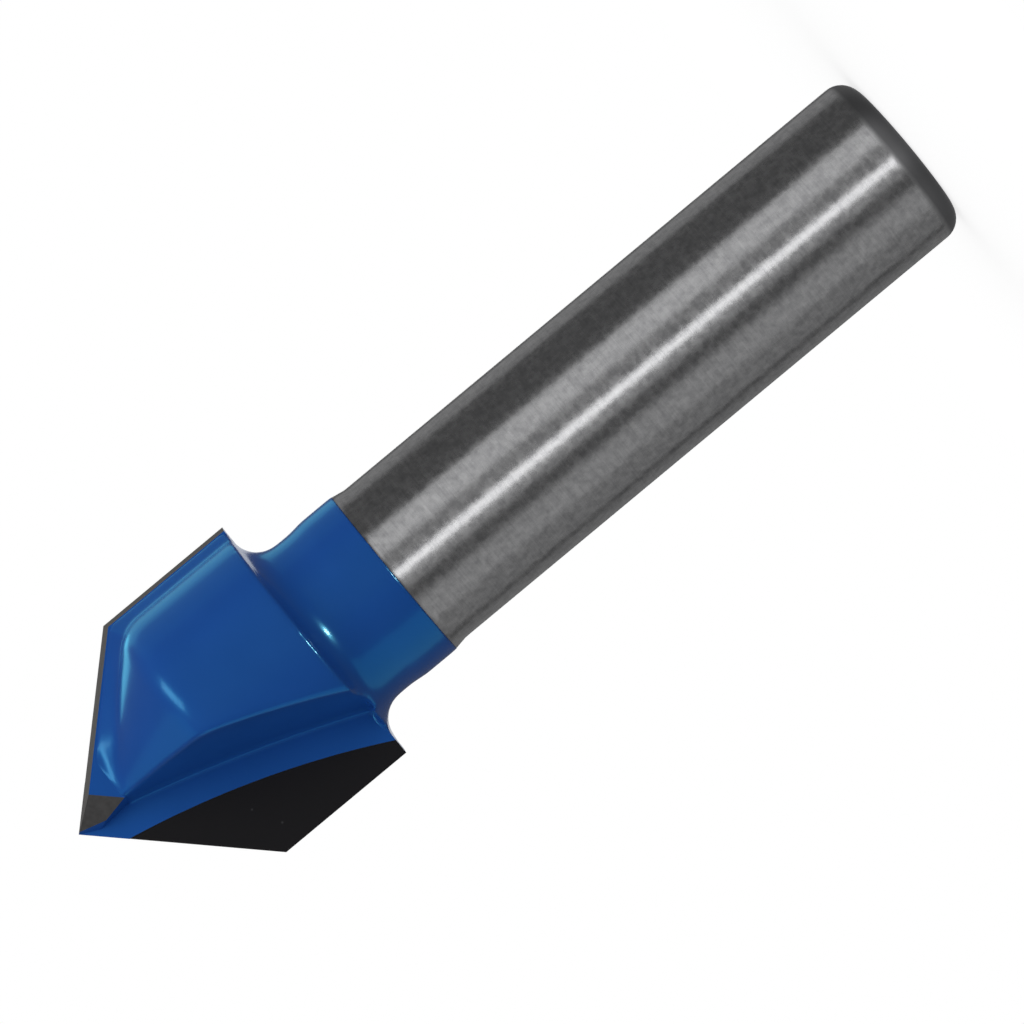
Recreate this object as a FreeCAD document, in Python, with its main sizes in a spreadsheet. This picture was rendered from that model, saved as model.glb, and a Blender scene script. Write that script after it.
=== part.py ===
import FreeCAD, Part
import math
import os
import Sketcher

# V groove router bit: a turned and milled steel body with two brazed carbide blades.
# Millimetres. Z is the axis of rotation, from the shank's end face up to the cutting point.
# The rake faces of both blades lie in the XZ plane: blade 1 cuts at +X and faces +Y,
# blade 2 is blade 1 turned half a turn about Z.

SIZES = (
    ("total_length", 71.5, "shank end face to cutting point"),
    ("shank_diameter", 12.7, "bare ground shank, for a standard collet"),
    ("shank_end_round", 1.6, "rounded edge of the shank's end face"),
    ("bare_length", 44.2, "shank end face to the painted collar"),
    ("flare_length", 0.9, "slope from the ground shank up to the collar"),
    ("collar_diameter", 13.1, "unground collar above the shank"),
    ("collar_length", 2.7, "straight part of the collar"),
    ("neck_taper_length", 1.0, "slope from the collar down to the neck"),
    ("neck_diameter", 12.84, "turned neck below the head"),
    ("shoulder_land", 0.2, "flat ring of the shoulder outside the neck's fillet"),
    ("head_diameter", 17.3, "turned body of the head between the blades"),
    ("nose_setback", 2.4, "cutting point back to the apex of the body's nose cone"),
    ("nose_blend", 3.0, "radius between the head's cylinder and its nose cone"),
    ("cutting_diameter", 20.0, "over the straight cutting edges"),
    ("cutting_length", 20.35, "shoulder to cutting point"),
    ("vee_angle", 90.0, "included angle of the cutting edges, degrees"),
    ("blade_thickness", 1.8, "carbide plate, rake face to seat"),
    ("flank_angle", 23.0, "clearance ground behind the cutting edges, degrees"),
    ("point_depth", 0.15, "blade thickness left at the cutting point"),
    ("point_relief_length", 2.5, "relief on the back of the blade, along its vee edge"),
    ("point_offset", 0.7, "how far the blade reaches past the axis near the point"),
    ("point_height", 1.4, "cutting point to where the blade reaches that far"),
    ("rake_step", 0.05, "depth of the ground zone of the rake face"),
    ("rake_arc_radius", 65.0, "wheel radius that bounds the ground zone"),
    ("rake_arc_start", 2.45, "where the ground zone begins on the vee edge, from the axis"),
    ("rake_arc_end", 8.9, "where it ends at the shoulder, from the axis"),
    ("web_half", 0.5, "half of the web between the flutes at its nose"),
    ("web_nose", 4.15, "cutting point to the nose of the web"),
    ("flute_end", 6.15, "foot of the flute's wall at the shoulder, from the axis"),
    ("flute_radius", 118.0, "large radius of the flute's wall"),
    ("flute_draft", 2.5, "lean of the flute's wall, degrees"),
    ("notch_width", 0.75, "cutter's run-out at the top of the flute's wall"),
    ("notch_height", 0.3, "how far the run-out reaches into the neck's fillet"),
    ("braze_gap", 0.03, "film of braze between a blade's inner edge and the body"),
    ("bead_inset", 0.05, "edge of the braze bead inside the blade's back edge"),
    ("bead_nose", 3.87, "cutting point to the bead's foot on the axis"),
    ("bead_slope", 14.0, "slope of the bead's foot across the nose, degrees"),
    ("bead_angle", 60.0, "how flat the bead lies on the blade's back, degrees"),
    ("bead_rise", 1.3, "height of the bead's prism, most of it inside the wing"),
    ("wing_angle", 47.0, "relief of the wing behind its blade, degrees"),
    ("wing_recede", 5.5, "turn of the wing's edge away from the vee edge, degrees"),
    ("wing_nose", 4.45, "cutting point to the wing's nose edge on the axis"),
    ("wing_nose_slope", 8.0, "slope of the wing's nose edge, degrees"),
    ("wing_corner", 4.0, "rounding between the wing's edge and its nose edge, and the bead's"),
    ("wing_rise", 3.0, "height of the wing's prism, most of it inside the head"),
    ("hidden_reach", 2.0, "how far outlines run on inside the body or outside the bit"),
)

doc = FreeCAD.newDocument("router_bit")
sheet = doc.addObject("Spreadsheet::Sheet", "Sizes")
for row, (alias, value, meaning) in enumerate(SIZES, 1):
    sheet.set("A%d" % row, alias)
    sheet.set("B%d" % row, str(value))
    sheet.set("C%d" % row, meaning)
    sheet.setAlias("B%d" % row, alias)
doc.recompute()


def size(alias):
    """The value of one named size, as the sheet holds it."""
    return float(sheet.get(alias))


def tangent(alias):
    return math.tan(math.radians(size(alias)))


# Values that several outlines share, worked out from the sizes.
HALF_VEE = math.radians(size("vee_angle") / 2)
LENGTH = size("total_length")
SHOULDER = LENGTH - size("cutting_length")
CUTTER = size("cutting_diameter") / 2
REACH = size("hidden_reach")
OUTSIDE = CUTTER + REACH
NOSE_TOP = LENGTH - size("web_nose")
BACK_INSET = size("blade_thickness") * tangent("flank_angle")
BACK_X = CUTTER - BACK_INSET

# The same values as expressions, which the sketches are tied to.
SHOULDER_AT = "Sizes.total_length - Sizes.cutting_length"
OUTSIDE_AT = "Sizes.cutting_diameter / 2 + Sizes.hidden_reach"
ABOVE_AT = "Sizes.total_length + Sizes.hidden_reach"
NOSE_TOP_AT = "Sizes.total_length - Sizes.web_nose"
BACK_INSET_AT = "(Sizes.blade_thickness * tan(Sizes.flank_angle))"
BACK_X_AT = "Sizes.cutting_diameter / 2 - " + BACK_INSET_AT


def origin_feature(body, role):
    for feature in body.Origin.OriginFeatures:
        if feature.Role == role:
            return feature
    raise ValueError("no origin feature %s" % role)


def new_sketch(body, name, role="XZ_Plane"):
    sketch = body.newObject("Sketcher::SketchObject", name)
    sketch.AttachmentSupport = [(origin_feature(body, role), "")]
    sketch.MapMode = "FlatFace"
    return sketch


def line(first, last):
    return Part.LineSegment(FreeCAD.Vector(*first, 0), FreeCAD.Vector(*last, 0))


def arc(centre, radius, start, finish):
    """Arc that runs anticlockwise between two directions, in radians."""
    circle = Part.Circle(FreeCAD.Vector(*centre, 0), FreeCAD.Vector(0, 0, 1), radius)
    return Part.ArcOfCircle(circle, start, finish)


def arc_between(first, last, radius):
    """Arc through two points, with its centre on the right of the way from first to last."""
    middle = ((first[0] + last[0]) / 2, (first[1] + last[1]) / 2)
    along = (last[0] - first[0], last[1] - first[1])
    chord = math.hypot(*along)
    away = math.sqrt(radius ** 2 - (chord / 2) ** 2)
    centre = (middle[0] + along[1] / chord * away, middle[1] - along[0] / chord * away)
    start = math.atan2(last[1] - centre[1], last[0] - centre[0])
    finish = math.atan2(first[1] - centre[1], first[0] - centre[0])
    return arc(centre, radius, start, finish)


def round_corner(before, corner, after, radius):
    """Ends of the two edges, and the arc between them, where a left-hand corner is rounded."""
    way_in = math.atan2(corner[1] - before[1], corner[0] - before[0])
    way_out = math.atan2(after[1] - corner[1], after[0] - corner[0])
    cut_back = radius * math.tan((way_out - way_in) / 2)
    start = (corner[0] - cut_back * math.cos(way_in), corner[1] - cut_back * math.sin(way_in))
    end = (corner[0] + cut_back * math.cos(way_out), corner[1] + cut_back * math.sin(way_out))
    centre = (start[0] - radius * math.sin(way_in), start[1] + radius * math.cos(way_in))
    return start, arc(centre, radius, way_in - math.pi / 2, way_out - math.pi / 2), end


def draw(sketch, outline, smooth=()):
    """Draw a closed outline of (name, shape, backwards) and join its ends.

    An edge named in smooth runs into the next one without a corner. Returns the
    edges by name, each as (index, first vertex, last vertex) in the way of travel."""
    edges = {}
    for name, shape, backwards in outline:
        index = sketch.addGeometry(shape, False)
        edges[name] = (index, 2, 1) if backwards else (index, 1, 2)
    names = [name for name, shape, backwards in outline]
    for name, following in zip(names, names[1:] + names[:1]):
        joint = "Tangent" if name in smooth else "Coincident"
        index, first, last = edges[name]
        next_index, next_first, next_last = edges[following]
        sketch.addConstraint(Sketcher.Constraint(joint, index, last, next_index, next_first))
    return edges


def polygon(sketch, names, points):
    """Draw a closed outline of straight edges, each named, from point to point."""
    ends = points[1:] + points[:1]
    outline = [(name, line(*pair), False) for name, pair in zip(names, zip(points, ends))]
    return draw(sketch, outline)


def level(sketch, edges, *names):
    for name in names:
        sketch.addConstraint(Sketcher.Constraint("Horizontal", edges[name][0]))


def upright(sketch, edges, *names):
    for name in names:
        sketch.addConstraint(Sketcher.Constraint("Vertical", edges[name][0]))


def tie(sketch, label, constraint, expression):
    number = sketch.addConstraint(constraint)
    sketch.renameConstraint(number, label)
    sketch.setExpression("Constraints." + label, expression)


def tie_x(sketch, edges, name, expression):
    """Tie the last vertex of an edge to the sheet, across from the axis."""
    index, first, last = edges[name]
    across = sketch.getPoint(index, last).x
    constraint = Sketcher.Constraint("DistanceX", -1, 1, index, last, across)
    tie(sketch, name + "_x", constraint, expression)


def tie_z(sketch, edges, name, expression):
    """Tie the last vertex of an edge to the sheet, up from the sketch's origin."""
    index, first, last = edges[name]
    height = sketch.getPoint(index, last).y
    constraint = Sketcher.Constraint("DistanceY", -1, 1, index, last, height)
    tie(sketch, name + "_z", constraint, expression)


def tie_radius(sketch, edges, name, expression):
    index = edges[name][0]
    constraint = Sketcher.Constraint("Radius", index, sketch.Geometry[index].Radius)
    tie(sketch, name + "_radius", constraint, expression)


def tie_angle(sketch, edges, name, expression):
    """Tie the direction of a straight edge, anticlockwise from X in degrees."""
    index = edges[name][0]
    run = sketch.Geometry[index].EndPoint - sketch.Geometry[index].StartPoint
    constraint = Sketcher.Constraint("Angle", index, math.atan2(run.y, run.x) % (2 * math.pi))
    tie(sketch, name + "_angle", constraint, expression)


def pad(body, name, sketch, length, taper=None):
    """Raise a prism from a sketch, along the sketch's own normal."""
    feature = body.newObject("PartDesign::Pad", name)
    feature.Profile = sketch
    feature.setExpression("Length", length)
    if taper:
        feature.setExpression("TaperAngle", taper)
    return settle(body, feature)


def pocket(body, name, sketch, length=None, reverse=False, both_ways=False, taper=None):
    """Cut a sketch out of the body, through everything if no length is given."""
    feature = body.newObject("PartDesign::Pocket", name)
    feature.Profile = sketch
    feature.Reversed = reverse
    if both_ways:
        feature.Midplane = True
    if length:
        feature.setExpression("Length", length)
    else:
        feature.Type = "ThroughAll"
    if taper:
        feature.setExpression("TaperAngle", taper)
    return settle(body, feature)


def settle(body, feature):
    """Recompute, and stop if the feature neither added nor removed anything."""
    base = feature.BaseFeature
    before = base.Shape.Volume if base else 0.0
    doc.recompute()
    if abs(feature.Shape.Volume - before) < 1e-4:
        raise RuntimeError("%s changes nothing" % feature.Name)
    return feature


def turn_about_axis(body, feature, sketch):
    """Make a revolved or grooved feature go once round the bit's axis."""
    feature.Profile = sketch
    feature.ReferenceAxis = (origin_feature(body, "Z_Axis"), [""])
    feature.Angle = 360
    return settle(body, feature)


def repeat_half_turn(body, name, features):
    pattern = body.newObject("PartDesign::PolarPattern", name)
    pattern.Originals = features
    pattern.Axis = (origin_feature(body, "Z_Axis"), [""])
    pattern.Angle = 360
    pattern.Occurrences = 2
    body.Tip = pattern
    return settle(body, pattern)


# The steel body is turned from bar, so its stock is one revolved outline: the shank
# with its rounded end, the collar, and the head with a blended nose cone.
steel = doc.addObject("PartDesign::Body", "SteelBody")
steel.Label = "steel_body"


def draw_stock():
    shank = size("shank_diameter") / 2
    end_round = size("shank_end_round")
    bare = size("bare_length")
    flare_start = bare - size("flare_length")
    collar = size("collar_diameter") / 2
    collar_end = bare + size("collar_length")
    head = size("head_diameter") / 2
    blend = size("nose_blend")
    apex = LENGTH - size("nose_setback")
    blend_x = head - blend
    blend_z = apex - (blend + blend_x * math.cos(HALF_VEE)) / math.sin(HALF_VEE)
    blend_end = (blend_x + blend * math.cos(HALF_VEE), blend_z + blend * math.sin(HALF_VEE))
    sketch = new_sketch(steel, "stock_outline")
    edges = draw(sketch, (
        ("end_face", line((0, 0), (shank - end_round, 0)), False),
        ("end_round", arc((shank - end_round, end_round), end_round, -math.pi / 2, 0), False),
        ("shank", line((shank, end_round), (shank, flare_start)), False),
        ("flare", line((shank, flare_start), (collar, bare)), False),
        ("collar", line((collar, bare), (collar, collar_end)), False),
        ("step", line((collar, collar_end), (head, collar_end)), False),
        ("head", line((head, collar_end), (head, blend_z)), False),
        ("blend", arc((blend_x, blend_z), blend, 0, HALF_VEE), False),
        ("nose", line(blend_end, (0, apex)), False),
        ("axis", line((0, apex), (0, 0)), False),
    ), smooth=("end_face", "end_round", "head", "blend"))
    level(sketch, edges, "end_face", "step")
    upright(sketch, edges, "shank", "collar", "head", "axis")
    sketch.addConstraint(Sketcher.Constraint("Coincident", edges["axis"][0], 2, -1, 1))
    tie_radius(sketch, edges, "end_round", "Sizes.shank_end_round")
    tie_x(sketch, edges, "shank", "Sizes.shank_diameter / 2")
    tie_z(sketch, edges, "shank", "Sizes.bare_length - Sizes.flare_length")
    tie_x(sketch, edges, "flare", "Sizes.collar_diameter / 2")
    tie_z(sketch, edges, "flare", "Sizes.bare_length")
    tie_z(sketch, edges, "collar", "Sizes.bare_length + Sizes.collar_length")
    tie_x(sketch, edges, "step", "Sizes.head_diameter / 2")
    tie_radius(sketch, edges, "blend", "Sizes.nose_blend")
    tie_angle(sketch, edges, "nose", "90 + Sizes.vee_angle / 2")
    tie_z(sketch, edges, "nose", "Sizes.total_length - Sizes.nose_setback")
    return sketch


turn_about_axis(steel, steel.newObject("PartDesign::Revolution", "stock"), draw_stock())


def draw_prism(sketch, outer, corner, inner, bottom):
    """Outline behind a blade: along the vee edge, round a corner to the nose, and back."""
    start, rounding, end = round_corner(outer, corner, inner, size("wing_corner"))
    edges = draw(sketch, (
        ("vee_edge", line(outer, start), False),
        ("corner", rounding, False),
        ("nose_edge", line(end, inner), False),
        ("root", line(inner, (inner[0], bottom)), False),
        ("bottom", line((inner[0], bottom), (outer[0], bottom)), False),
        ("side", line((outer[0], bottom), outer), False),
    ), smooth=("vee_edge", "corner"))
    level(sketch, edges, "bottom")
    upright(sketch, edges, "root", "side")
    tie_radius(sketch, edges, "corner", "Sizes.wing_corner")
    return edges


# Behind each blade stands a wing of the body. It is a prism on the plane of the blade's
# back, whose leaning sides are the wing's relief. It runs on past the shoulder, where
# the neck is turned afterwards, and its edge falls away from the vee edge to the nose.
def draw_wing():
    vee_z = LENGTH - BACK_INSET / math.sin(HALF_VEE) - BACK_X / math.tan(HALF_VEE)
    edge_angle = math.pi / 2 - HALF_VEE - math.radians(size("wing_recede"))
    slope = tangent("wing_nose_slope")
    nose_z = LENGTH - size("wing_nose")
    corner_x = (vee_z + BACK_X * math.tan(edge_angle) - nose_z) / (math.tan(edge_angle) - slope)
    corner_z = nose_z - corner_x * slope
    root_x = -2 * REACH
    bottom = size("bare_length") + size("collar_length") + size("neck_taper_length")
    sketch = new_sketch(steel, "wing_outline")
    sketch.setExpression("AttachmentOffset.Base.z", "Sizes.blade_thickness")
    edges = draw_prism(sketch, (BACK_X, vee_z), (corner_x, corner_z),
                       (root_x, nose_z - root_x * slope), bottom)
    tie_x(sketch, edges, "side", BACK_X_AT)
    tie_z(sketch, edges, "side", "Sizes.total_length - %s / sin(Sizes.vee_angle / 2)"
          " - (%s) / tan(Sizes.vee_angle / 2)" % (BACK_INSET_AT, BACK_X_AT))
    tie_angle(sketch, edges, "vee_edge", "90 + Sizes.vee_angle / 2 + Sizes.wing_recede")
    tie_angle(sketch, edges, "nose_edge", "180 - Sizes.wing_nose_slope")
    tie_x(sketch, edges, "nose_edge", "-2 * Sizes.hidden_reach")
    tie_z(sketch, edges, "nose_edge", "Sizes.total_length - Sizes.wing_nose"
          " + 2 * Sizes.hidden_reach * tan(Sizes.wing_nose_slope)")
    tie_z(sketch, edges, "root",
          "Sizes.bare_length + Sizes.collar_length + Sizes.neck_taper_length")
    return sketch


wing = pad(steel, "wing", draw_wing(), "Sizes.wing_rise", "-Sizes.wing_angle")


# The bead of braze lies in the corner between the blade's back and the wing. It shows as
# a narrow band along the vee edge that widens to the nose.
def draw_bead():
    inset = BACK_INSET + size("bead_inset")
    slope = tangent("bead_slope")
    side_x = BACK_X - size("bead_inset")
    side_z = LENGTH - inset / math.sin(HALF_VEE) - side_x / math.tan(HALF_VEE)
    foot_z = LENGTH - size("bead_nose")
    reach = 1 / math.tan(HALF_VEE) - slope
    corner_x = (size("bead_nose") - inset / math.sin(HALF_VEE)) / reach
    root_x = -2 * REACH
    bottom = SHOULDER + REACH
    sketch = new_sketch(steel, "bead_outline")
    sketch.setExpression("AttachmentOffset.Base.z", "Sizes.blade_thickness")
    edges = draw_prism(sketch, (side_x, side_z), (corner_x, foot_z - corner_x * slope),
                       (root_x, foot_z - root_x * slope), bottom)
    side_x_at = BACK_X_AT + " - Sizes.bead_inset"
    tie_x(sketch, edges, "side", side_x_at)
    tie_z(sketch, edges, "side", "Sizes.total_length"
          " - (%s + Sizes.bead_inset) / sin(Sizes.vee_angle / 2)"
          " - (%s) / tan(Sizes.vee_angle / 2)" % (BACK_INSET_AT, side_x_at))
    tie_angle(sketch, edges, "vee_edge", "90 + Sizes.vee_angle / 2")
    tie_angle(sketch, edges, "nose_edge", "180 - Sizes.bead_slope")
    tie_x(sketch, edges, "nose_edge", "-2 * Sizes.hidden_reach")
    tie_z(sketch, edges, "nose_edge", "Sizes.total_length - Sizes.bead_nose"
          " + 2 * Sizes.hidden_reach * tan(Sizes.bead_slope)")
    tie_z(sketch, edges, "root", SHOULDER_AT + " + Sizes.hidden_reach")
    return sketch


bead = pad(steel, "braze_bead", draw_bead(), "Sizes.bead_rise", "-Sizes.bead_angle")
repeat_half_turn(steel, "wings", [wing, bead])


# The neck is turned last, through the wings as well: a slope down from the collar, the
# neck, and a fillet that runs out on the flat shoulder.
def draw_neck():
    collar = size("collar_diameter") / 2
    collar_end = size("bare_length") + size("collar_length")
    neck = size("neck_diameter") / 2
    neck_start = collar_end + size("neck_taper_length")
    fillet = size("head_diameter") / 2 - size("shoulder_land") - neck
    corner = (neck + fillet, SHOULDER - fillet)
    sketch = new_sketch(steel, "neck_outline")
    edges = draw(sketch, (
        ("slope", line((collar, collar_end), (neck, neck_start)), False),
        ("neck", line((neck, neck_start), (neck, corner[1])), False),
        ("fillet", arc(corner, fillet, math.pi / 2, math.pi), True),
        ("shoulder", line((corner[0], SHOULDER), (OUTSIDE, SHOULDER)), False),
        ("outside", line((OUTSIDE, SHOULDER), (OUTSIDE, collar_end)), False),
        ("floor", line((OUTSIDE, collar_end), (collar, collar_end)), False),
    ), smooth=("neck", "fillet"))
    level(sketch, edges, "shoulder", "floor")
    upright(sketch, edges, "neck", "outside")
    tie_x(sketch, edges, "floor", "Sizes.collar_diameter / 2")
    tie_z(sketch, edges, "floor", "Sizes.bare_length + Sizes.collar_length")
    tie_x(sketch, edges, "slope", "Sizes.neck_diameter / 2")
    tie_z(sketch, edges, "slope",
          "Sizes.bare_length + Sizes.collar_length + Sizes.neck_taper_length")
    tie_x(sketch, edges, "fillet", "Sizes.head_diameter / 2 - Sizes.shoulder_land")
    tie_z(sketch, edges, "fillet", SHOULDER_AT)
    tie_x(sketch, edges, "shoulder", OUTSIDE_AT)
    return sketch


turn_about_axis(steel, steel.newObject("PartDesign::Groove", "neck"), draw_neck())


# Each flute is milled down to the rake plane, with a long curved wall that leans a
# little, and a small run-out where the wall meets the shoulder.
def draw_flute():
    foot = (size("flute_end"), SHOULDER)
    nose = (size("web_half"), NOSE_TOP)
    above = LENGTH + REACH
    half_notch = size("notch_width") / 2
    notch_height = size("notch_height")
    notch_radius = (half_notch ** 2 + notch_height ** 2) / (2 * notch_height)
    notch = (foot[0] + size("notch_width"), SHOULDER)
    wall = arc_between(foot, nose, size("flute_radius"))
    spoke = wall.StartPoint - wall.Center
    runs_to = (nose[0] - spoke.y / spoke.x * (above - nose[1]), above)
    sketch = new_sketch(steel, "flute_outline")
    edges = draw(sketch, (
        ("wall", wall, True),
        ("nose_side", line(nose, runs_to), False),
        ("above", line(runs_to, (OUTSIDE, above)), False),
        ("outside", line((OUTSIDE, above), (OUTSIDE, SHOULDER)), False),
        ("shoulder", line((OUTSIDE, SHOULDER), notch), False),
        ("run_out", arc_between(notch, foot, notch_radius), True),
    ), smooth=("wall",))
    level(sketch, edges, "above", "shoulder")
    upright(sketch, edges, "outside")
    tie_x(sketch, edges, "wall", "Sizes.web_half")
    tie_z(sketch, edges, "wall", NOSE_TOP_AT)
    tie_radius(sketch, edges, "wall", "Sizes.flute_radius")
    tie_x(sketch, edges, "above", OUTSIDE_AT)
    tie_z(sketch, edges, "above", ABOVE_AT)
    tie_z(sketch, edges, "outside", SHOULDER_AT)
    tie_x(sketch, edges, "shoulder", "Sizes.flute_end + Sizes.notch_width")
    tie_radius(sketch, edges, "run_out", "(Sizes.notch_width ^ 2 / 4 + Sizes.notch_height ^ 2)"
               " / (2 * Sizes.notch_height)")
    tie_x(sketch, edges, "run_out", "Sizes.flute_end")
    tie_z(sketch, edges, "run_out", SHOULDER_AT)
    return sketch


flute = pocket(steel, "flute", draw_flute(), OUTSIDE_AT, taper="Sizes.flute_draft")


# The blade's seat goes on down from the rake plane by the blade's thickness. It ends at
# the shoulder, and at the nose it passes the axis, where only the blades are left.
def draw_seat():
    foot = (size("flute_end"), SHOULDER)
    nose = (size("web_half"), NOSE_TOP)
    above = LENGTH + REACH
    sketch = new_sketch(steel, "seat_outline")
    edges = draw(sketch, (
        ("wall", arc_between(foot, nose, size("flute_radius")), True),
        ("web_nose", line(nose, (-REACH, NOSE_TOP)), False),
        ("far_side", line((-REACH, NOSE_TOP), (-REACH, above)), False),
        ("above", line((-REACH, above), (OUTSIDE, above)), False),
        ("outside", line((OUTSIDE, above), (OUTSIDE, SHOULDER)), False),
        ("shoulder", line((OUTSIDE, SHOULDER), foot), False),
    ))
    level(sketch, edges, "web_nose", "above", "shoulder")
    upright(sketch, edges, "far_side", "outside")
    tie_x(sketch, edges, "wall", "Sizes.web_half")
    tie_z(sketch, edges, "wall", NOSE_TOP_AT)
    tie_radius(sketch, edges, "wall", "Sizes.flute_radius")
    tie_x(sketch, edges, "web_nose", "-Sizes.hidden_reach")
    tie_x(sketch, edges, "above", OUTSIDE_AT)
    tie_z(sketch, edges, "above", ABOVE_AT)
    tie_x(sketch, edges, "shoulder", "Sizes.flute_end")
    tie_z(sketch, edges, "shoulder", SHOULDER_AT)
    return sketch


seat = pocket(steel, "seat", draw_seat(), "Sizes.blade_thickness", reverse=True)
repeat_half_turn(steel, "flutes", [flute, seat])


# A carbide blade starts as a plate whose ground flanks lean in from the rake face. It
# is then cut to its seat, thinned behind the point, and its rake face is ground.
def draw_plate(blade):
    vee_z = LENGTH - CUTTER / math.tan(HALF_VEE)
    bottom = SHOULDER - REACH
    far_z = LENGTH - REACH * size("point_height") / size("point_offset")
    sketch = new_sketch(blade, "plate_outline")
    points = ((0, LENGTH), (-REACH, far_z), (-REACH, bottom), (CUTTER, bottom), (CUTTER, vee_z))
    edges = polygon(sketch, ("far_edge", "far_side", "bottom", "side", "vee_edge"), points)
    level(sketch, edges, "bottom")
    upright(sketch, edges, "far_side", "side")
    tie_x(sketch, edges, "far_edge", "-Sizes.hidden_reach")
    tie_z(sketch, edges, "far_edge", "Sizes.total_length"
          " - Sizes.hidden_reach * Sizes.point_height / Sizes.point_offset")
    tie_z(sketch, edges, "far_side", SHOULDER_AT + " - Sizes.hidden_reach")
    tie_x(sketch, edges, "side", "Sizes.cutting_diameter / 2")
    tie_z(sketch, edges, "side", "Sizes.total_length"
          " - Sizes.cutting_diameter / 2 / tan(Sizes.vee_angle / 2)")
    tie_z(sketch, edges, "vee_edge", "Sizes.total_length")
    sketch.addConstraint(Sketcher.Constraint("PointOnObject", edges["vee_edge"][0], 2, -2))
    return sketch


def draw_seat_edge(blade):
    """What lies outside the seat: beyond the flute's wall, the web's nose and the shoulder."""
    gap = size("braze_gap")
    foot = (size("flute_end") + gap, SHOULDER)
    nose = (size("web_half") + gap, NOSE_TOP + gap)
    inner = (-size("web_half"), nose[1])
    point = (-size("point_offset"), LENGTH - size("point_height"))
    bottom = SHOULDER - OUTSIDE
    sketch = new_sketch(blade, "seat_edge_outline")
    edges = draw(sketch, (
        ("wall", arc_between(foot, nose, size("flute_radius")), True),
        ("web_nose", line(nose, inner), False),
        ("inner_end", line(inner, point), False),
        ("point_side", line(point, (-OUTSIDE, point[1])), False),
        ("far_side", line((-OUTSIDE, point[1]), (-OUTSIDE, bottom)), False),
        ("bottom", line((-OUTSIDE, bottom), (OUTSIDE, bottom)), False),
        ("outside", line((OUTSIDE, bottom), (OUTSIDE, SHOULDER)), False),
        ("shoulder", line((OUTSIDE, SHOULDER), foot), False),
    ))
    level(sketch, edges, "web_nose", "point_side", "bottom", "shoulder")
    upright(sketch, edges, "far_side", "outside")
    tie_x(sketch, edges, "wall", "Sizes.web_half + Sizes.braze_gap")
    tie_z(sketch, edges, "wall", NOSE_TOP_AT + " + Sizes.braze_gap")
    tie_radius(sketch, edges, "wall", "Sizes.flute_radius")
    tie_x(sketch, edges, "web_nose", "-Sizes.web_half")
    tie_x(sketch, edges, "inner_end", "-Sizes.point_offset")
    tie_z(sketch, edges, "inner_end", "Sizes.total_length - Sizes.point_height")
    tie_x(sketch, edges, "point_side", "-(%s)" % OUTSIDE_AT)
    tie_z(sketch, edges, "far_side", SHOULDER_AT + " - (%s)" % OUTSIDE_AT)
    tie_x(sketch, edges, "bottom", OUTSIDE_AT)
    tie_x(sketch, edges, "shoulder", "Sizes.flute_end + Sizes.braze_gap")
    tie_z(sketch, edges, "shoulder", SHOULDER_AT)
    return sketch


def draw_point_relief(blade):
    """Wedge behind the point. The sketch stands across the blade, along the vee edge."""
    relief = size("point_relief_length")
    back = -size("blade_thickness")
    depth = size("point_depth")
    past = -REACH
    beyond = -depth + REACH * (-back - depth) / relief
    below = back - REACH
    sketch = new_sketch(blade, "point_relief_outline", "XY_Plane")
    turn = FreeCAD.Rotation(FreeCAD.Vector(0, 1, 0), 90 - math.degrees(HALF_VEE))
    sketch.AttachmentOffset = FreeCAD.Placement(FreeCAD.Vector(0, 0, LENGTH), turn)
    sketch.setExpression("AttachmentOffset.Base.z", "Sizes.total_length")
    sketch.setExpression("AttachmentOffset.Rotation.Angle", "90 - Sizes.vee_angle / 2")
    points = ((relief, back), (past, beyond), (past, below), (relief, below))
    edges = polygon(sketch, ("facet", "far_side", "below", "end"), points)
    level(sketch, edges, "below")
    upright(sketch, edges, "far_side", "end")
    tie_x(sketch, edges, "end", "Sizes.point_relief_length")
    tie_z(sketch, edges, "end", "-Sizes.blade_thickness")
    tie_x(sketch, edges, "facet", "-Sizes.hidden_reach")
    tie_z(sketch, edges, "facet", "-Sizes.point_depth + Sizes.hidden_reach"
          " * (Sizes.blade_thickness - Sizes.point_depth) / Sizes.point_relief_length")
    tie_z(sketch, edges, "far_side", "-Sizes.blade_thickness - Sizes.hidden_reach")
    return sketch


def draw_rake_zone(blade):
    """Ground zone of the rake face, bounded by the wheel's arc."""
    start = (size("rake_arc_start"), LENGTH - size("rake_arc_start") / math.tan(HALF_VEE))
    end = (size("rake_arc_end"), SHOULDER)
    bottom = SHOULDER - REACH
    sketch = new_sketch(blade, "rake_zone_outline")
    edges = draw(sketch, (
        ("wheel", arc_between(end, start, size("rake_arc_radius")), True),
        ("top", line(start, (OUTSIDE, start[1])), False),
        ("outside", line((OUTSIDE, start[1]), (OUTSIDE, bottom)), False),
        ("bottom", line((OUTSIDE, bottom), (end[0], bottom)), False),
        ("side", line((end[0], bottom), end), False),
    ))
    level(sketch, edges, "top", "bottom")
    upright(sketch, edges, "outside", "side")
    tie_x(sketch, edges, "wheel", "Sizes.rake_arc_start")
    tie_z(sketch, edges, "wheel", "Sizes.total_length"
          " - Sizes.rake_arc_start / tan(Sizes.vee_angle / 2)")
    tie_radius(sketch, edges, "wheel", "Sizes.rake_arc_radius")
    tie_x(sketch, edges, "top", OUTSIDE_AT)
    tie_z(sketch, edges, "outside", SHOULDER_AT + " - Sizes.hidden_reach")
    tie_x(sketch, edges, "side", "Sizes.rake_arc_end")
    tie_z(sketch, edges, "side", SHOULDER_AT)
    return sketch


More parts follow.
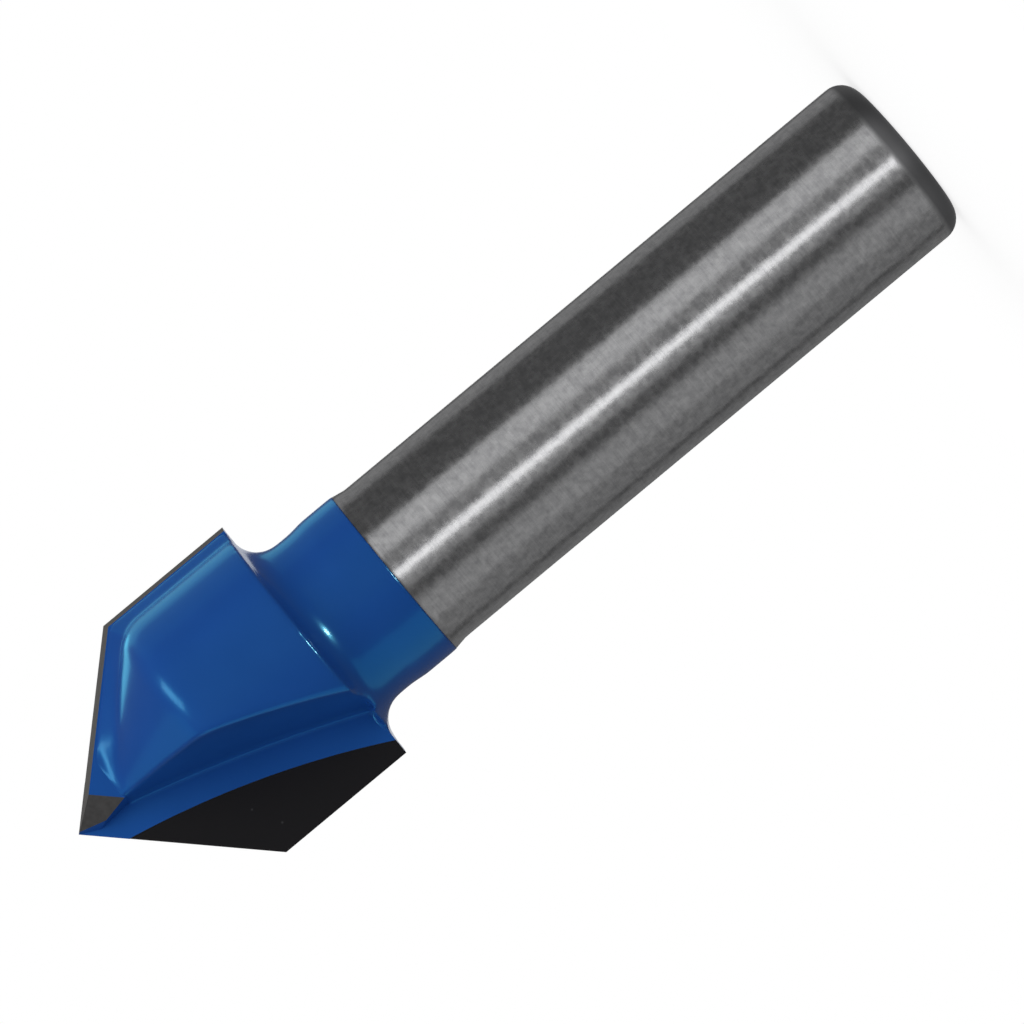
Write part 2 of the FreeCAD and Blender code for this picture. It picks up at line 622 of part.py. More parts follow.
def make_blade(number):
    blade = doc.addObject("PartDesign::Body", "CarbideBlade%d" % number)
    blade.Label = "carbide_blade_%d" % number
    pad(blade, "plate", draw_plate(blade), "Sizes.blade_thickness", "-Sizes.flank_angle")
    pocket(blade, "seat_edge", draw_seat_edge(blade), reverse=True)
    pocket(blade, "point_relief", draw_point_relief(blade), both_ways=True)
    pocket(blade, "rake_zone", draw_rake_zone(blade), "Sizes.rake_step", reverse=True)
    half_turns = FreeCAD.Rotation(FreeCAD.Vector(0, 0, 1), 180 * (number - 1))
    blade.Placement = FreeCAD.Placement(FreeCAD.Vector(0, 0, 0), half_turns)
    return blade


pieces = [steel] + [make_blade(number) for number in (1, 2)]
doc.recompute()

for thing in doc.Objects:
    if "Invalid" in thing.State or "Error" in thing.State:
        raise RuntimeError("%s failed: %s" % (thing.Name, thing.State))
for piece in pieces:
    if piece.Shape.isNull() or not piece.Shape.isValid() or len(piece.Shape.Solids) != 1:
        raise RuntimeError("%s is not one valid solid" % piece.Label)

os.makedirs("parts", exist_ok=True)
for piece in pieces:
    piece.Shape.exportStep("parts/%s.step" % piece.Label)
    box = piece.Shape.BoundBox
    print("%-16s volume %9.2f  x %.3f %.3f  y %.3f %.3f  z %.3f %.3f" % (
        piece.Label, piece.Shape.Volume, box.XMin, box.XMax, box.YMin, box.YMax,
        box.ZMin, box.ZMax))
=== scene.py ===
import math

import bmesh
import bpy
from mathutils import Matrix, Vector


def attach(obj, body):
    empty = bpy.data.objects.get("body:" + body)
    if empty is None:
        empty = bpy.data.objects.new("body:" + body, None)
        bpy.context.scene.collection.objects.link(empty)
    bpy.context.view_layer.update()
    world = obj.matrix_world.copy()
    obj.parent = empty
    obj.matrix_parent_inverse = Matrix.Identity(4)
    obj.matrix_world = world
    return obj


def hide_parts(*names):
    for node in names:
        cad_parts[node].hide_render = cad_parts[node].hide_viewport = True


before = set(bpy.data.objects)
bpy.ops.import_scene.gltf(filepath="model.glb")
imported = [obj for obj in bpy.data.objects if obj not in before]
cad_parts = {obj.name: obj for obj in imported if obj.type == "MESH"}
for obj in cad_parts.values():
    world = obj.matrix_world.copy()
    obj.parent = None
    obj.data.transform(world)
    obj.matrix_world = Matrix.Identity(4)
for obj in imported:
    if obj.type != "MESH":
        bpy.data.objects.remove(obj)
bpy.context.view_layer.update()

# Bare shank
# The lower part of the steel body, bare tool steel that was cylindrically ground to fit a
# collet. Its end has a turned round edge, and below the lacquer it flares a little.
SHANK_RADIUS = 0.00635
SHANK_END_ROUND = 0.0016
END_ROUND_STEP = 10          # degrees between two points of the round edge
END_FACE_RINGS = (0.0, 0.5, 0.96)      # of the flat end's radius
RING_GAP = 0.0003            # metres from a bend to the ring that keeps its shading short
MIDDLE_RING = 0.02
SHANK_FACETS = 192
FLARE_START = 0.0433
FLARE_POINTS = ((0.0, 0.00001), (0.0004, 0.00008))     # height above its start, growth in radius
PAINT_LINE = 0.0442
COLLAR_RADIUS = 0.00655
PAINT_LINE_INSET = 0.00003   # metres that the steel lies inside the collar at the paint line
HIDDEN_INSET = 0.0003        # and just above it, where the lacquered head covers it
HIDDEN_START = PAINT_LINE + 0.0001
HIDDEN_TOP = 0.0455          # the shank runs on inside the lacquered head
SAME_POINT = 0.000001        # metres, nearer points are merged

GROUND_STEEL = "#c5c5c6"
GROUND_STEEL_DULL = "#9c9c9e"
TURNED_STEEL = "#8e8e90"     # the rounded end, which the grinding wheel doesn't reach
GROUND_FROM = SHANK_END_ROUND * 0.7    # the turned finish gives way to the ground one here
GROUND_FULLY = SHANK_END_ROUND * 0.95
GRINDING_LINE = 0.00012      # metres between wheel marks, drawn three times as coarse as real
MARK_LENGTH = 0.00286        # metres along a wheel mark
MOTTLE = 0.0005              # metres across a patch where the wheel cut a little deeper
MOTTLE_DEPTH = 0.00001
MOTTLE_SHARE = 0.7           # of the steel's change in tone, the rest is the wheel marks'
NOISE_LOW = 0.3              # most of a noise texture's values lie between these two
NOISE_HIGH = 0.7


def linear(hex_colour):
    """An sRGB hex colour as linear red, green, blue and alpha."""
    channels = [int(hex_colour[i:i + 2], 16) / 255 for i in (1, 3, 5)]
    return [c / 12.92 if c <= 0.04045 else ((c + 0.055) / 1.055) ** 2.4 for c in channels] + [1.0]


def add(tree, kind, settings, inputs):
    """Add a node with its settings, and set or link its inputs by name or by number."""
    node = tree.nodes.new(kind)
    for name, value in settings.items():
        setattr(node, name, value)
    for socket, value in inputs.items():
        if isinstance(value, bpy.types.Node):
            value = value.outputs[0]
        if isinstance(value, bpy.types.NodeSocket):
            tree.links.new(value, node.inputs[socket])
        else:
            node.inputs[socket].default_value = value
    return node


def new_material(name):
    """A material and its node tree, which is still empty."""
    material = bpy.data.materials.new(name)
    material.use_nodes = True
    material.node_tree.nodes.clear()
    return material, material.node_tree


# Cylindrically ground tool steel: a grey mirror that fine wheel marks round the shank
# blur along its length, so lamps show on it as long streaks with softly mottled edges.
def ground_tool_steel():
    material, tree = new_material("ground_tool_steel")
    place = add(tree, "ShaderNodeTexCoord", {}, {}).outputs["Object"]
    marks_at = add(tree, "ShaderNodeMapping", {}, {
        "Vector": place, "Scale": (1 / MARK_LENGTH, 1 / MARK_LENGTH, 1 / GRINDING_LINE)})
    marks = add(tree, "ShaderNodeTexNoise", {}, {"Vector": marks_at, "Scale": 1.0, "Detail": 3.0})
    mottle = add(tree, "ShaderNodeTexNoise", {}, {
        "Vector": place, "Scale": 1 / MOTTLE, "Detail": 3.0})
    wear = add(tree, "ShaderNodeMix", {}, {0: MOTTLE_SHARE, 2: marks, 3: mottle})
    brightness = add(tree, "ShaderNodeMapRange", {}, {
        "Value": wear, "From Min": NOISE_LOW, "From Max": NOISE_HIGH})
    tone = add(tree, "ShaderNodeMix", {"data_type": "RGBA"}, {
        0: brightness, 6: linear(GROUND_STEEL_DULL), 7: linear(GROUND_STEEL)}).outputs[2]
    polish = add(tree, "ShaderNodeMapRange", {}, {
        "Value": mottle, "From Min": NOISE_LOW, "From Max": NOISE_HIGH,
        "To Min": 0.24, "To Max": 0.3})
    relief = add(tree, "ShaderNodeBump", {}, {
        "Height": mottle, "Strength": 0.5, "Distance": MOTTLE_DEPTH})

    height = add(tree, "ShaderNodeSeparateXYZ", {}, {"Vector": place}).outputs["Z"]
    ground = add(tree, "ShaderNodeMapRange", {}, {
        "Value": height, "From Min": GROUND_FROM, "From Max": GROUND_FULLY})
    colour = add(tree, "ShaderNodeMix", {"data_type": "RGBA"}, {
        0: ground, 6: linear(TURNED_STEEL), 7: tone}).outputs[2]
    rough = add(tree, "ShaderNodeMix", {}, {0: ground, 2: 0.6, 3: polish})
    shader = add(tree, "ShaderNodeBsdfPrincipled", {}, {
        "Base Color": colour, "Metallic": 1.0, "Roughness": rough, "Anisotropic": 0.7,
        "Anisotropic Rotation": 0.25, "Normal": relief})
    add(tree, "ShaderNodeOutputMaterial", {}, {"Surface": shader})
    return material


def piece_from(mesh, name, material, smooth=True):
    """Turn a finished bmesh into an object of the scene with one material."""
    data = bpy.data.meshes.new(name)
    mesh.to_mesh(data)
    mesh.free()
    data.materials.append(material)
    if smooth:
        data.shade_smooth()
    piece = bpy.data.objects.new(name, data)
    bpy.context.scene.collection.objects.link(piece)
    return piece


def turned(outline, facets):
    """Spin an outline of (radius, height) once round the axis, with its poles closed."""
    mesh = bmesh.new()
    points = [mesh.verts.new((radius, 0.0, height)) for radius, height in outline]
    edges = [mesh.edges.new(pair) for pair in zip(points, points[1:])]
    bmesh.ops.spin(mesh, geom=points + edges, axis=(0.0, 0.0, 1.0), cent=(0.0, 0.0, 0.0),
                   angle=math.tau, steps=facets, use_merge=True)
    bmesh.ops.remove_doubles(mesh, verts=mesh.verts[:], dist=SAME_POINT)
    bmesh.ops.recalc_face_normals(mesh, faces=mesh.faces[:])
    return mesh


round_centre = SHANK_RADIUS - SHANK_END_ROUND
end_face = [(round_centre * share, 0.0) for share in END_FACE_RINGS]
end_round = [(round_centre + SHANK_END_ROUND * math.sin(math.radians(angle)),
              SHANK_END_ROUND * (1.0 - math.cos(math.radians(angle))))
             for angle in range(0, 91, END_ROUND_STEP)]
ground_side = [(SHANK_RADIUS, SHANK_END_ROUND + RING_GAP), (SHANK_RADIUS, MIDDLE_RING),
               (SHANK_RADIUS, FLARE_START - RING_GAP)]
flare = [(SHANK_RADIUS + growth, FLARE_START + rise) for rise, growth in FLARE_POINTS]
hidden_part = [(COLLAR_RADIUS - PAINT_LINE_INSET, PAINT_LINE),
               (COLLAR_RADIUS - HIDDEN_INSET, HIDDEN_START),
               (COLLAR_RADIUS - HIDDEN_INSET, HIDDEN_TOP), (0.0, HIDDEN_TOP)]
shank_outline = end_face + end_round + ground_side + flare + hidden_part
shank = piece_from(turned(shank_outline, SHANK_FACETS), "ground_shank", ground_tool_steel())
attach(shank, "root")
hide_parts("steel_body")

# Lacquered head
# The rest of the steel body: collar, neck and the milled head with its two flutes. It was
# dipped in blue lacquer after brazing, so every edge and corner is softened by the film.
LACQUER_BLUE = "#1d4fa1"
LACQUER_DEEP = "#1b4c9a"
LACQUER_SHEEN = "#6fe6ff"
LACQUER_CLOUD = 0.003        # metres across a patch where the dip dried thicker
FILM_CELL = 0.00015          # metres, cell of the mesh that the film is drawn with
FILM_SOFTENING = 32          # passes that round the edges as the dip did
FILM_THICKNESS = 0.00002
SPARE_CELLS = 14             # below the paint line, cut off once the film is softened
BLADE_MARGIN = 0.00008       # how far the film keeps under the faces of the blades
BLADE_SEAT = Vector((-0.0007, -0.0018, 0.06133))    # inner end, back and middle of blade 1
BLADE_REACH = Vector((0.0107, 0.0018, 0.01018))     # from there to its outer faces
BLADE_SIDES = {"carbide_blade_1": 1.0, "carbide_blade_2": -1.0}    # the second half a turn round
FILM_TOP = 0.0677            # the blades stand clear of the body above this


def lacquer_look(tree, place):
    """The lacquer's colour and roughness, which change a little where the dip was thicker."""
    dip = add(tree, "ShaderNodeTexNoise", {}, {
        "Vector": place, "Scale": 1 / LACQUER_CLOUD, "Detail": 1.0})
    cloud = add(tree, "ShaderNodeMapRange", {}, {"Value": dip, "From Min": 0.1, "From Max": 0.9})
    colour = add(tree, "ShaderNodeMix", {"data_type": "RGBA"}, {
        0: cloud, 6: linear(LACQUER_DEEP), 7: linear(LACQUER_BLUE)}).outputs[2]
    rough = add(tree, "ShaderNodeMapRange", {}, {"Value": cloud, "To Min": 0.21, "To Max": 0.27})
    return colour, rough


# Air-dried blue lacquer: dense, slightly cloudy colour under a soft gloss.
def blue_tool_lacquer():
    material, tree = new_material("blue_tool_lacquer")
    place = add(tree, "ShaderNodeTexCoord", {}, {}).outputs["Object"]
    colour, rough = lacquer_look(tree, place)
    shader = add(tree, "ShaderNodeBsdfPrincipled", {}, {
        "Base Color": colour, "Roughness": rough, "IOR": 1.5, "Specular IOR Level": 0.4,
        "Specular Tint": linear(LACQUER_SHEEN), "Coat Weight": 0.12, "Coat Roughness": 0.1})
    add(tree, "ShaderNodeOutputMaterial", {}, {"Surface": shader})
    return material


def cut_level(mesh, height, keep_above):
    """Cut a mesh level at a height, keep one side of it and close the cut."""
    bmesh.ops.bisect_plane(mesh, geom=mesh.verts[:] + mesh.edges[:] + mesh.faces[:],
                           plane_co=(0.0, 0.0, height), plane_no=(0.0, 0.0, 1.0),
                           clear_inner=keep_above, clear_outer=not keep_above)
    bmesh.ops.holes_fill(mesh, edges=[e for e in mesh.edges if e.is_boundary], sides=0)


# The film bridges the braze line, so it is drawn over the body and both blades together,
# with each blade drawn in a little from its own faces, which then stand out of the film.
head_mesh = bmesh.new()
head_mesh.from_mesh(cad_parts["steel_body"].data)
for blade_name, side in BLADE_SIDES.items():
    drawn_in = bmesh.new()
    drawn_in.from_mesh(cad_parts[blade_name].data)
    bmesh.ops.remove_doubles(drawn_in, verts=drawn_in.verts[:], dist=SAME_POINT)
    seat = Vector((BLADE_SEAT.x * side, BLADE_SEAT.y * side, BLADE_SEAT.z))
    bmesh.ops.scale(drawn_in, verts=drawn_in.verts[:], space=Matrix.Translation(-seat),
                    vec=[1.0 - BLADE_MARGIN / reach for reach in BLADE_REACH])
    cut_level(drawn_in, FILM_TOP, keep_above=False)
    drawn_in_mesh = bpy.data.meshes.new("blade_under_film")
    drawn_in.to_mesh(drawn_in_mesh)
    drawn_in.free()
    head_mesh.from_mesh(drawn_in_mesh)
    bpy.data.meshes.remove(drawn_in_mesh)
bmesh.ops.remove_doubles(head_mesh, verts=head_mesh.verts[:], dist=SAME_POINT)
cut_level(head_mesh, PAINT_LINE - SPARE_CELLS * FILM_CELL, keep_above=True)
head = piece_from(head_mesh, "lacquered_head", blue_tool_lacquer())
cells = head.modifiers.new("film_mesh", "REMESH")
cells.mode = "VOXEL"
cells.voxel_size = FILM_CELL
cells.use_smooth_shade = True
softened = head.modifiers.new("film_soft", "SMOOTH")
softened.factor = 0.5
softened.iterations = FILM_SOFTENING
thickness = head.modifiers.new("film_thickness", "DISPLACE")
thickness.mid_level = 0.0
thickness.strength = FILM_THICKNESS
graph = bpy.context.evaluated_depsgraph_get()
film = bpy.data.meshes.new_from_object(head.evaluated_get(graph))
head.modifiers.clear()
film_mesh = bmesh.new()
film_mesh.from_mesh(film)
bpy.data.meshes.remove(film)
cut_level(film_mesh, PAINT_LINE, keep_above=True)
for face in film_mesh.faces:
    face.smooth = face.calc_center_median().z > PAINT_LINE + SAME_POINT
film_mesh.to_mesh(head.data)
film_mesh.free()
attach(head, "root")
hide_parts("steel_body")

# Carbide blades
# Two plates of sintered tungsten carbide, brazed to the body before the dip. Their
# cutting flanks, the outer part of the rake face and the relief behind the point were
# diamond-ground afterwards, which took the lacquer off and left bare carbide.
TIP_HEIGHT = 0.0715
SHOULDER_HEIGHT = 0.05115
WHEEL_RADIUS = 0.065         # metres, of the edge between the ground zone and the lacquer
ZONE_START = Vector((0.00245, TIP_HEIGHT - 0.00245))
ZONE_END = Vector((0.0089, SHOULDER_HEIGHT))
ZONE_MARGIN = 0.00002        # metres, so that no sliver along the zone's edge stays blue
RAKE_FACING = 0.9            # a face whose normal has more Y than this is the rake face
FLANK_FACING = 0.75          # one with more X and Z together is a cutting flank
BACK_FACING = -0.5           # one with less Y than this is on the back,
POINT_FACING = 0.4           # and with this much more Z than X is the relief behind the point
# Near black of the rake's ground zone: partly the carbide's own dark grey, partly painted
# reflection of the dark that the polished face mirrors.
RAKE_CARBIDE_AND_REFLECTION_BLACK = "#262527"
RAKE_SPECK = "#606062"
RELIEF_GREY = "#585757"
RELIEF_LIGHT = "#636262"
# Painted sheen: the bare flanks are drawn lighter than the other ground carbide, for the light
# they catch at a glance.
FLANK_PAINTED_SHEEN_GREY = "#7d7b79"
BARE_METALLIC = 0.5          # carbide grains in a metal binder
SPECK_SPACING = 0.0016       # metres between the faint specks on the rake face
SPECK_RADIUS = 0.03          # of their spacing
SPECK_EDGE = 0.08
SPECK_STRENGTH = 0.6
WHEEL_GRAIN = 0.0004         # metres across a patch of the diamond wheel's marks


def wheel_centre():
    """Centre of the ground zone's edge, on the outer side of the line through its ends."""
    along = ZONE_END - ZONE_START
    away = math.sqrt(WHEEL_RADIUS ** 2 - (along.length / 2) ** 2)
    outward = Vector((-along.y, along.x)).normalized()
    return (ZONE_START + ZONE_END) / 2 + outward * away


# Sintered carbide, diamond-ground where it is bare: nearly black and smooth on the rake face,
# grey behind the point, where the wheel's marks mottle it, and lighter grey on the flanks. These
# bare tones follow which way a face points and are partly painted reflection: the rake's near
# black is partly the carbide's own dark grey and partly the painted dark that its polished face
# mirrors, and the flanks' lighter grey is a painted sheen for the light they catch at a glance.
def lacquered_carbide(name, side):
    material, tree = new_material(name)
    as_blade_1 = (side, side, 1.0)
    piece = add(tree, "ShaderNodeTexCoord", {}, {}).outputs
    place = add(tree, "ShaderNodeMapping", {}, {"Vector": piece["Object"], "Scale": as_blade_1})
    facing = add(tree, "ShaderNodeMapping", {}, {"Vector": piece["Normal"], "Scale": as_blade_1})
    toward = add(tree, "ShaderNodeSeparateXYZ", {}, {"Vector": facing}).outputs

    centre = wheel_centre()
    from_centre = add(tree, "ShaderNodeMapping", {}, {
        "Vector": place, "Scale": (1.0, 0.0, 1.0), "Location": (-centre.x, 0.0, -centre.y)})
    away = add(tree, "ShaderNodeVectorMath", {"operation": "LENGTH"}, {0: from_centre})
    in_zone = add(tree, "ShaderNodeMath", {"operation": "LESS_THAN"}, {
        0: away.outputs["Value"], 1: WHEEL_RADIUS + ZONE_MARGIN})
    rake = add(tree, "ShaderNodeMath", {"operation": "GREATER_THAN"}, {
        0: toward["Y"], 1: RAKE_FACING})
    black = add(tree, "ShaderNodeMath", {"operation": "MULTIPLY"}, {0: in_zone, 1: rake})

    outward = add(tree, "ShaderNodeMath", {"operation": "ADD"}, {0: toward["X"], 1: toward["Z"]})
    flank = add(tree, "ShaderNodeMath", {"operation": "GREATER_THAN"}, {
        0: outward, 1: FLANK_FACING})
    behind = add(tree, "ShaderNodeMath", {"operation": "LESS_THAN"}, {
        0: toward["Y"], 1: BACK_FACING})
    upward = add(tree, "ShaderNodeMath", {"operation": "SUBTRACT"}, {
        0: toward["Z"], 1: toward["X"]})
    slanted = add(tree, "ShaderNodeMath", {"operation": "GREATER_THAN"}, {
        0: upward, 1: POINT_FACING})
    relief = add(tree, "ShaderNodeMath", {"operation": "MULTIPLY"}, {0: behind, 1: slanted})
    grey = add(tree, "ShaderNodeMath", {"operation": "MAXIMUM"}, {0: flank, 1: relief})
    bare = add(tree, "ShaderNodeMath", {"operation": "MAXIMUM"}, {0: black, 1: grey})

    specks = add(tree, "ShaderNodeTexVoronoi", {}, {"Vector": place, "Scale": 1 / SPECK_SPACING})
    speck = add(tree, "ShaderNodeMapRange", {}, {
        "Value": specks, "From Min": SPECK_RADIUS, "From Max": SPECK_EDGE,
        "To Min": SPECK_STRENGTH, "To Max": 0.0})
    # The rake's near black, partly painted reflection, with faint specks.
    rake_tone = add(tree, "ShaderNodeMix", {"data_type": "RGBA"}, {
        0: speck, 6: linear(RAKE_CARBIDE_AND_REFLECTION_BLACK), 7: linear(RAKE_SPECK)}).outputs[2]
    grain = add(tree, "ShaderNodeTexNoise", {}, {
        "Vector": place, "Scale": 1 / WHEEL_GRAIN, "Detail": 3.0})
    grain_light = add(tree, "ShaderNodeMapRange", {}, {
        "Value": grain, "From Min": NOISE_LOW, "From Max": NOISE_HIGH})
    relief_tone = add(tree, "ShaderNodeMix", {"data_type": "RGBA"}, {
        0: grain_light, 6: linear(RELIEF_GREY), 7: linear(RELIEF_LIGHT)}).outputs[2]
    # The flanks take the painted sheen's lighter grey, the relief behind the point its mottled
    # grey.
    grey_tone = add(tree, "ShaderNodeMix", {"data_type": "RGBA"}, {
        0: flank, 6: relief_tone, 7: linear(FLANK_PAINTED_SHEEN_GREY)}).outputs[2]

    lacquer, lacquer_rough = lacquer_look(tree, place)
    not_black = add(tree, "ShaderNodeMix", {"data_type": "RGBA"}, {
        0: grey, 6: lacquer, 7: grey_tone}).outputs[2]
    colour = add(tree, "ShaderNodeMix", {"data_type": "RGBA"}, {
        0: black, 6: not_black, 7: rake_tone}).outputs[2]
    bare_rough = add(tree, "ShaderNodeMapRange", {}, {
        "Value": grain_light, "To Min": 0.36, "To Max": 0.46})
    rough = add(tree, "ShaderNodeMix", {}, {0: bare, 2: lacquer_rough, 3: bare_rough})
    metallic = add(tree, "ShaderNodeMath", {"operation": "MULTIPLY"}, {0: bare, 1: BARE_METALLIC})
    sheen = add(tree, "ShaderNodeMix", {"data_type": "RGBA"}, {
        0: bare, 6: linear(LACQUER_SHEEN), 7: linear("#ffffff")}).outputs[2]
    shader = add(tree, "ShaderNodeBsdfPrincipled", {}, {
        "Base Color": colour, "Metallic": metallic, "Roughness": rough, "IOR": 1.5,
        "Specular IOR Level": 0.35, "Specular Tint": sheen})
    add(tree, "ShaderNodeOutputMaterial", {}, {"Surface": shader})
    return material


for blade_name, side in BLADE_SIDES.items():
    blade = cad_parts[blade_name]
    blade.data.materials.clear()
    blade.data.materials.append(lacquered_carbide("lacquered_" + blade_name, side))

# Camera
# A long lens, level with the bit and 14 degrees round from square on to the rake face,
# rolled so that the shank runs up to the right as it does in the picture.
VIEW_TURN = math.radians(14.0)
VIEW_DISTANCE = 0.5
ROLL = math.radians(39.7)
AIM_ASIDE = 0.0019           # metres from the bit's axis to the middle of the picture
AIM_HEIGHT = 0.03558
toward_camera = Vector((math.sin(VIEW_TURN), math.cos(VIEW_TURN), 0.0))
across = Vector((math.cos(VIEW_TURN), -math.sin(VIEW_TURN), 0.0))
shankward = Vector((0.0, 0.0, -1.0))
camera_right = shankward * math.cos(ROLL) + across * math.sin(ROLL)
camera_up = shankward * math.sin(ROLL) - across * math.cos(ROLL)
aim = across * AIM_ASIDE + Vector((0.0, 0.0, AIM_HEIGHT))

camera_data = bpy.data.cameras.new("studio_camera")
camera_data.lens = 264.0
camera_data.sensor_width = 36.0
camera_data.clip_start = 0.01
camera = bpy.data.objects.new("studio_camera", camera_data)
bpy.context.scene.collection.objects.link(camera)
turn = Matrix((camera_right, camera_up, toward_camera)).transposed().to_4x4()
camera.matrix_world = Matrix.Translation(aim + toward_camera * VIEW_DISTANCE) @ turn
bpy.context.scene.camera = camera

# Studio
# The bit stands on a small pale table in a white surround. Long soft lamps stand upright
# round the shank, and a dark cloth behind them gives the ground steel its streaks. The head
# has lamps of its own: three that light its colour, and the rest for the lacquer's sheen.
TABLE_RADIUS = 0.12
TABLE_WHITE = "#e7e7e7"
TABLE_LIFT = 0.75            # brings the table up to the white of the surround
CLOTH_RADIUS = 0.95
CLOTH_HALF_HEIGHT = 0.9
CLOTH_OPENING = math.radians(171.0)    # round from the camera's side, where the cloth ends
CLOTH_GLOW = 0.12
SURROUND_FILL = 0.32
SURROUND_WHITE = 1.0
LAMP_DISTANCE = 0.7
LAMP_MIDDLE = Vector((0.0, 0.0, 0.045))
STRIP_HEIGHT = 1.4
BOX_TINT = "#b4eeff"


def lamp(name, lit, angle, rise, width, height, brightness, tint="#ffffff", seen_in="both"):
    """A soft lamp for some pieces, so many degrees right of the camera and upwards.

    Its brightness is that of its face, whatever its size. Seen in "colour" it lights the
    pieces' colour and doesn't shine on them, and in "gloss" it only shines on them.
    """
    level_part = (toward_camera * math.cos(math.radians(angle))
                  + across * math.sin(math.radians(angle))) * math.cos(math.radians(rise))
    offset = (level_part + Vector((0.0, 0.0, math.sin(math.radians(rise))))) * LAMP_DISTANCE
    light = bpy.data.lights.new(name, "AREA")
    light.shape = "RECTANGLE"
    light.size = width
    light.size_y = height
    light.energy = brightness * math.pi * width * height
    light.color = linear(tint)[:3]
    lamp_object = bpy.data.objects.new(name, light)
    lamp_object.location = LAMP_MIDDLE + offset
    lamp_object.rotation_euler = offset.to_track_quat("Z", "Y").to_euler()
    lamp_object.visible_camera = False
    lamp_object.visible_glossy = seen_in != "colour"
    lamp_object.visible_diffuse = seen_in != "gloss"
    lamp_object.light_linking.receiver_collection = lit
    bpy.context.scene.collection.objects.link(lamp_object)


steel_pieces = bpy.data.collections.new("steel_pieces")
steel_pieces.objects.link(shank)
lacquer_pieces = bpy.data.collections.new("lacquer_pieces")
lacquer_pieces.objects.link(head)
head_pieces = bpy.data.collections.new("head_pieces")
head_pieces.objects.link(head)
for blade_name in BLADE_SIDES:
    head_pieces.objects.link(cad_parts[blade_name])

lamp("front_strip", steel_pieces, 3.2, 0.0, 0.125, STRIP_HEIGHT, 1.95)
lamp("front_soft", steel_pieces, 14.0, 0.0, 0.24, STRIP_HEIGHT, 0.27)
lamp("left_strip", steel_pieces, -39.0, 0.0, 0.38, STRIP_HEIGHT, 0.44)
lamp("left_soft", steel_pieces, -32.0, 0.0, 0.62, STRIP_HEIGHT, 0.2)
lamp("right_strip", steel_pieces, 60.0, 0.0, 0.5, STRIP_HEIGHT, 0.15)
lamp("right_soft", steel_pieces, 82.0, 0.0, 1.0, STRIP_HEIGHT, 0.15)
lamp("right_back_strip", steel_pieces, 146.0, 0.0, 0.45, STRIP_HEIGHT, 0.09)
lamp("left_back_strip", steel_pieces, -137.0, 0.0, 0.46, STRIP_HEIGHT, 0.18)
lamp("head_key", head_pieces, -33.0, 25.0, 1.0, 1.0, 0.9, seen_in="colour")
lamp("head_low_key", head_pieces, -24.0, -35.0, 1.0, 0.8, 0.85, seen_in="colour")
lamp("head_back_key", head_pieces, 172.0, 22.0, 1.0, 1.0, 1.0, seen_in="colour")
lamp("head_top_soft", lacquer_pieces, 0.0, 82.0, 0.45, 0.45, 0.7, LACQUER_SHEEN)
lamp("head_limb_strip", lacquer_pieces, -141.0, 2.0, 0.3, 0.55, 0.95, LACQUER_SHEEN)
lamp("head_limb_soft", lacquer_pieces, -112.0, 2.0, 0.45, 0.8, 0.24, LACQUER_SHEEN)
lamp("head_nose_strip", lacquer_pieces, -154.0, 24.0, 0.13, 0.24, 2.2, LACQUER_SHEEN, "gloss")
lamp("head_right_strip", lacquer_pieces, 82.0, 0.0, 0.75, STRIP_HEIGHT, 1.15, LACQUER_SHEEN,
     "gloss")
lamp("high_left_box", lacquer_pieces, -53.0, 46.0, 0.36, 0.15, 8.5, BOX_TINT, "gloss")
lamp("low_front_box", lacquer_pieces, 3.5, -48.0, 0.09, 0.13, 95.0, seen_in="gloss")

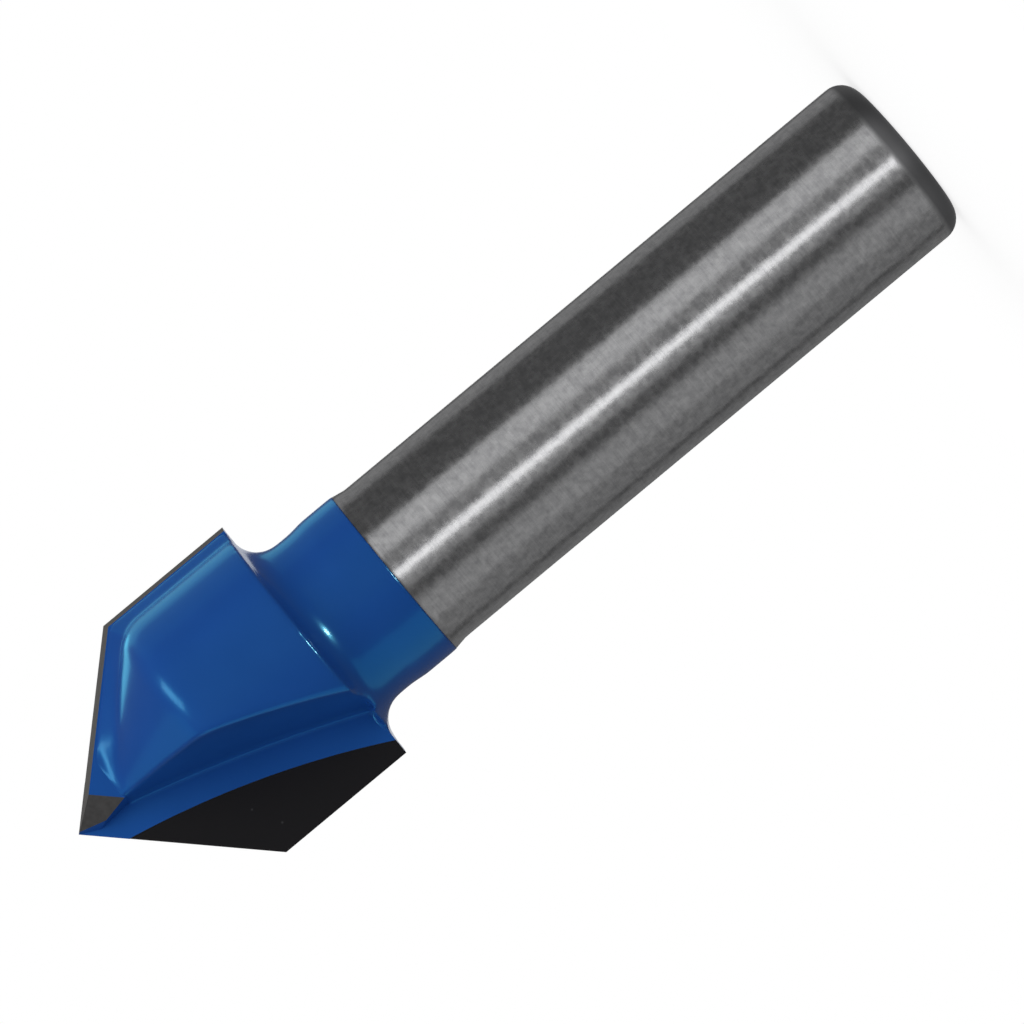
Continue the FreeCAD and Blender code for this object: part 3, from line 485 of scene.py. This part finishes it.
# Black cloth, as dark grey as it looks under the lamps. It is a drum with closed ends round
# the lamps, with a gap behind the bit that lets the white surround into the steel.
cloth, cloth_tree = new_material("black_cloth")
glow = add(cloth_tree, "ShaderNodeEmission", {}, {
    "Color": linear("#ffffff"), "Strength": CLOTH_GLOW})
add(cloth_tree, "ShaderNodeOutputMaterial", {}, {"Surface": glow})
cloth_mesh = bmesh.new()
bmesh.ops.create_cone(cloth_mesh, cap_ends=True, segments=120, radius1=CLOTH_RADIUS,
                      radius2=CLOTH_RADIUS, depth=2 * CLOTH_HALF_HEIGHT)
opening = [face for face in cloth_mesh.faces if abs(face.normal.z) < 0.5
           and face.calc_center_median().xy.normalized().dot(toward_camera.xy)
           < math.cos(CLOTH_OPENING)]
bmesh.ops.delete(cloth_mesh, geom=opening, context="FACES")
screen = piece_from(cloth_mesh, "dark_cloth", cloth)
screen.visible_camera = False
screen.visible_diffuse = False
screen.visible_shadow = False


def seen_directly(tree):
    """1 for rays that show the surround to the camera, in metal or through glass."""
    path = add(tree, "ShaderNodeLightPath", {}, {}).outputs
    in_gloss = add(tree, "ShaderNodeMath", {"operation": "MAXIMUM"}, {
        0: path["Is Glossy Ray"], 1: path["Is Transmission Ray"]})
    return add(tree, "ShaderNodeMath", {"operation": "MAXIMUM"}, {
        0: path["Is Camera Ray"], 1: in_gloss})


# Matt white laminate, lifted to plain white where it is seen but still taking a shadow.
table_top, table_tree = new_material("matt_white_laminate")
matt = add(table_tree, "ShaderNodeBsdfDiffuse", {}, {"Color": linear(TABLE_WHITE)})
lift = add(table_tree, "ShaderNodeMath", {"operation": "MULTIPLY"}, {
    0: seen_directly(table_tree), 1: TABLE_LIFT})
lifted = add(table_tree, "ShaderNodeEmission", {}, {"Color": linear("#ffffff"), "Strength": lift})
laminate = add(table_tree, "ShaderNodeAddShader", {}, {0: matt, 1: lifted})
add(table_tree, "ShaderNodeOutputMaterial", {}, {"Surface": laminate})
table_mesh = bmesh.new()
bmesh.ops.create_circle(table_mesh, cap_ends=True, segments=96, radius=TABLE_RADIUS)
table = piece_from(table_mesh, "white_table", table_top, smooth=False)
table.visible_glossy = False
table.visible_shadow = False

world = bpy.data.worlds.new("white_surround")
bpy.context.scene.world = world
world.use_nodes = True
air = world.node_tree
air.nodes.clear()
fill = add(air, "ShaderNodeMapRange", {}, {
    "Value": seen_directly(air), "To Min": SURROUND_FILL, "To Max": SURROUND_WHITE})
surround = add(air, "ShaderNodeBackground", {}, {"Color": linear("#ffffff"), "Strength": fill})
add(air, "ShaderNodeOutputWorld", {}, {"Surface": surround})

bpy.context.scene.view_settings.view_transform = "Standard"
